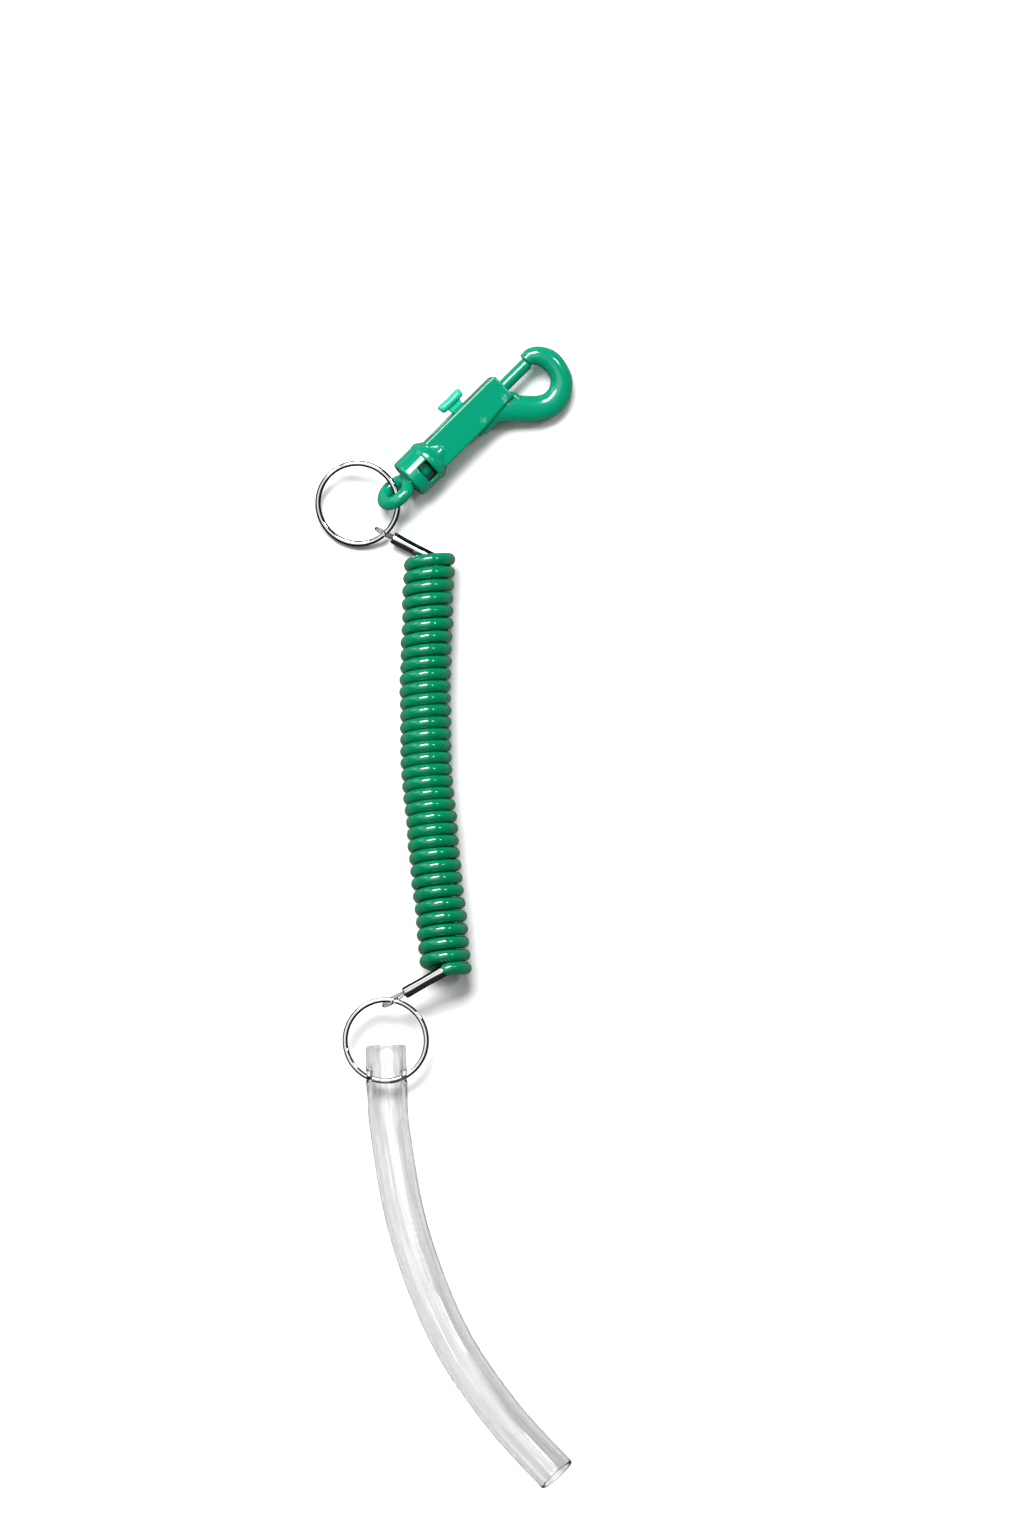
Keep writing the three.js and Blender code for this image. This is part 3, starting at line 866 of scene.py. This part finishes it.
# ---- Core loops --------------------------------------------------------------------------------------------
# The cord's clear core, stripped of its jacket, doubled back round the ring's wire and held by the crimp.
def clear_plastic(name, tint, streak_tint, roughness, edge, painted_outline_power):
    """Clear vinyl: nearly water clear, with drawing lines that run along it from the die, and a painted dark
    outline where the surface turns away from the view.
    """
    material = bpy.data.materials.new(name)
    shader = Shader(material)
    drawn = shader.node("ShaderNodeAttribute", {"attribute_name": "drawn"}, {}, output=1)
    broad = shader.node("ShaderNodeTexNoise", {}, {"Vector": drawn, "Scale": 2.4, "Detail": 1.0})
    fine = shader.node("ShaderNodeTexNoise", {}, {"Vector": drawn, "Scale": 7.0, "Detail": 2.0})
    lines = shader.node("ShaderNodeMapRange", {}, {0: broad * 0.5 + fine * 0.5, 1: 0.46, 2: 0.54})
    bump = shader.node("ShaderNodeBump", {}, {"Distance": 0.00003, "Height": fine})
    surface = shader.tree.nodes["Principled BSDF"]
    facing_for_painted_outline = shader.node("ShaderNodeLayerWeight", {}, {"Blend": 0.5}, output=1)
    body = shader.node(
        "ShaderNodeMix", {"data_type": "RGBA"}, {0: lines, 6: (*tint, 1), 7: (*streak_tint, 1)}, output=2
    )
    # painted shade: the tint is mixed towards dark grey as the surface turns away, a painted outline in place
    # of the dark surroundings seen through the plastic; edge sets its strength
    tint_with_painted_outline = shader.node(
        "ShaderNodeMix",
        {"data_type": "RGBA"},
        {0: facing_for_painted_outline**painted_outline_power * edge, 6: body, 7: (0.10, 0.10, 0.10, 1)},
        output=2,
    )
    shader.put(surface.inputs["Base Color"], tint_with_painted_outline)
    surface.inputs["Transmission Weight"].default_value = 1.0
    surface.inputs["IOR"].default_value = 1.42
    shader.put(surface.inputs["Roughness"], roughness + fine * 0.03)
    shader.put(surface.inputs["Normal"], bump)
    light_passes = shader.node("ShaderNodeLightPath", output=1)
    clear = shader.node("ShaderNodeBsdfTransparent", {}, {0: (0.86, 0.86, 0.86, 1)})
    whole = shader.node(
        "ShaderNodeMixShader", {}, {0: light_passes, 1: Term(shader, surface.outputs[0]), 2: clear}
    )
    shader.put(shader.tree.nodes["Material Output"].inputs["Surface"], whole)
    return material


# the core's painted dark outline is strong and wide
core_clear = clear_plastic(
    "clear_core", (0.86, 0.86, 0.85), (0.70, 0.70, 0.69), 0.02, edge=1.0, painted_outline_power=0.7
)


core_thickness = 0.00105
haze_per_metre = 700


def core_loop(name, node, body, joint_name, end, ring_gap):
    at = Vector(joints[joint_name]["pos_m"])
    towards = end[1]
    across = towards.cross(Vector(joints[joint_name]["axis"])).normalized()
    half_length, half_width, spacing, tail = 2.9, 2.0, 0.55, 4.0
    stations = [(ring_gap + tail, spacing), (ring_gap + 0.6, spacing)]
    for i in range(9):
        angle = math.pi / 3 + i / 8 * 4 * math.pi / 3
        stations.append((half_length * math.cos(angle), half_width * math.sin(angle)))
    stations += [(ring_gap + 0.6, -spacing), (ring_gap + tail, -spacing)]
    line = []
    for i in range(97):
        along, aside = spline_value(stations, i / 96)
        line.append(at + towards * along * mm + across * aside * mm)
    loop = swept(name, line, core_clear, core_thickness, core_thickness, sides=16)
    loop.data.attributes.remove(loop.data.attributes["along"])
    drawn = loop.data.attributes.new("drawn", "FLOAT_VECTOR", "POINT")
    places = [value * haze_per_metre for vertex in loop.data.vertices for value in vertex.co]
    drawn.data.foreach_set("vector", places)
    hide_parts(node)
    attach(loop, body)


core_loop("top_core_loop_visual", "top_core_loop", "coil_top", "coil_swing", top_end, 2.6)
core_loop(
    "bottom_core_loop_visual", "bottom_core_loop", "coil_bottom", "bottom_ring_swing", bottom_end, 4.4
)


# ---- Clear tube --------------------------------------------------------------------------------------------
# A length of clear vinyl tubing cut square at both ends, keeping the curve of the reel it came off. The ring
# goes through two punched holes, and the wall swells a little round each.
tube_radius, tube_bore = 5.8, 4.5
tube_hole = Vector(joints["tube_swing"]["pos_m"])
tube_end = (tube_hole + Vector((0, 0.0086, 0))) / mm
tube_route = [
    (0, 0, 0), (0.4, -12.2, 0), (1.5, -26.2, 0), (6.9, -54.2, 0),
    (18.1, -83.2, 0.4), (32.9, -105.7, 2), (49.45, -124.2, 5.2),
]


def tube_frames(steps):
    """Places along the tube, with the directions across it, level and upwards."""
    for i in range(steps + 1):
        t = i / steps
        here = Vector(spline_value(tube_route, t)) + tube_end
        before = Vector(spline_value(tube_route, max(0, t - 0.002)))
        after = Vector(spline_value(tube_route, min(1, t + 0.002)))
        along = (after - before).normalized()
        level = along.cross(Vector((0, 0, 1))).normalized()
        yield here, level, level.cross(along)


def tube_ring(here, level, upward, radius, sides=72):
    ring = []
    for j in range(sides):
        angle = 2 * math.pi * j / sides
        point = here + (level * math.cos(angle) + upward * math.sin(angle)) * radius
        off = Vector((0, point.y, point.z)) - Vector((0, tube_hole.y / mm, tube_hole.z / mm))
        swell = 0.5 * math.exp(-((off.length / 2.1) ** 2)) if radius > 5 else 0
        ring.append(point + (point - here).normalized() * swell)
    return ring


frames = list(tube_frames(170))
edge = 0.15
rings = [tube_ring(*frames[0], tube_radius - edge)]
rings += [tube_ring(*place, tube_radius) for place in frames[1:-1]]
rings += [tube_ring(*frames[-1], tube_radius - edge), tube_ring(*frames[-1], tube_bore + edge)]
rings += [tube_ring(*place, tube_bore) for place in reversed(frames[1:-1])]
rings += [tube_ring(*frames[0], tube_bore + edge)]
tube = solid("chew_tube_visual", *skin(rings, closed=True))
hole = turned("ring_holes", [(-9, 0.01), (-9, 1.9), (9, 1.9), (9, 0.01)], sides=40)
hole.data.transform(Matrix.Translation(tube_hole))
tube = combine(tube, [hole], "DIFFERENCE")
tube.name = "chew_tube_visual"
# where each point sits round and along the drawn tube, for the lines that the die leaves
drift_per_frame = 0.006
drawn_places = []
for vertex in tube.data.vertices:
    nearest = min(range(0, len(frames), 2), key=lambda i: (frames[i][0] * mm - vertex.co).length_squared)
    here, level, upward = frames[nearest]
    outwards = (vertex.co / mm - here).normalized()
    drawn_places += [outwards.dot(level), outwards.dot(upward), nearest * drift_per_frame]
drawn = tube.data.attributes.new("drawn", "FLOAT_VECTOR", "POINT")
drawn.data.foreach_set("vector", drawn_places)
# the tube's painted dark outline is weaker and narrower
vinyl_clear = clear_plastic(
    "clear_vinyl", (0.995, 0.995, 0.995), (0.82, 0.82, 0.82), 0.03, edge=0.5, painted_outline_power=2
)
tube.data.materials.clear()
tube.data.materials.append(vinyl_clear)
shade_smooth(tube, 45)
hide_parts("chew_tube")
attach(tube, "tube")
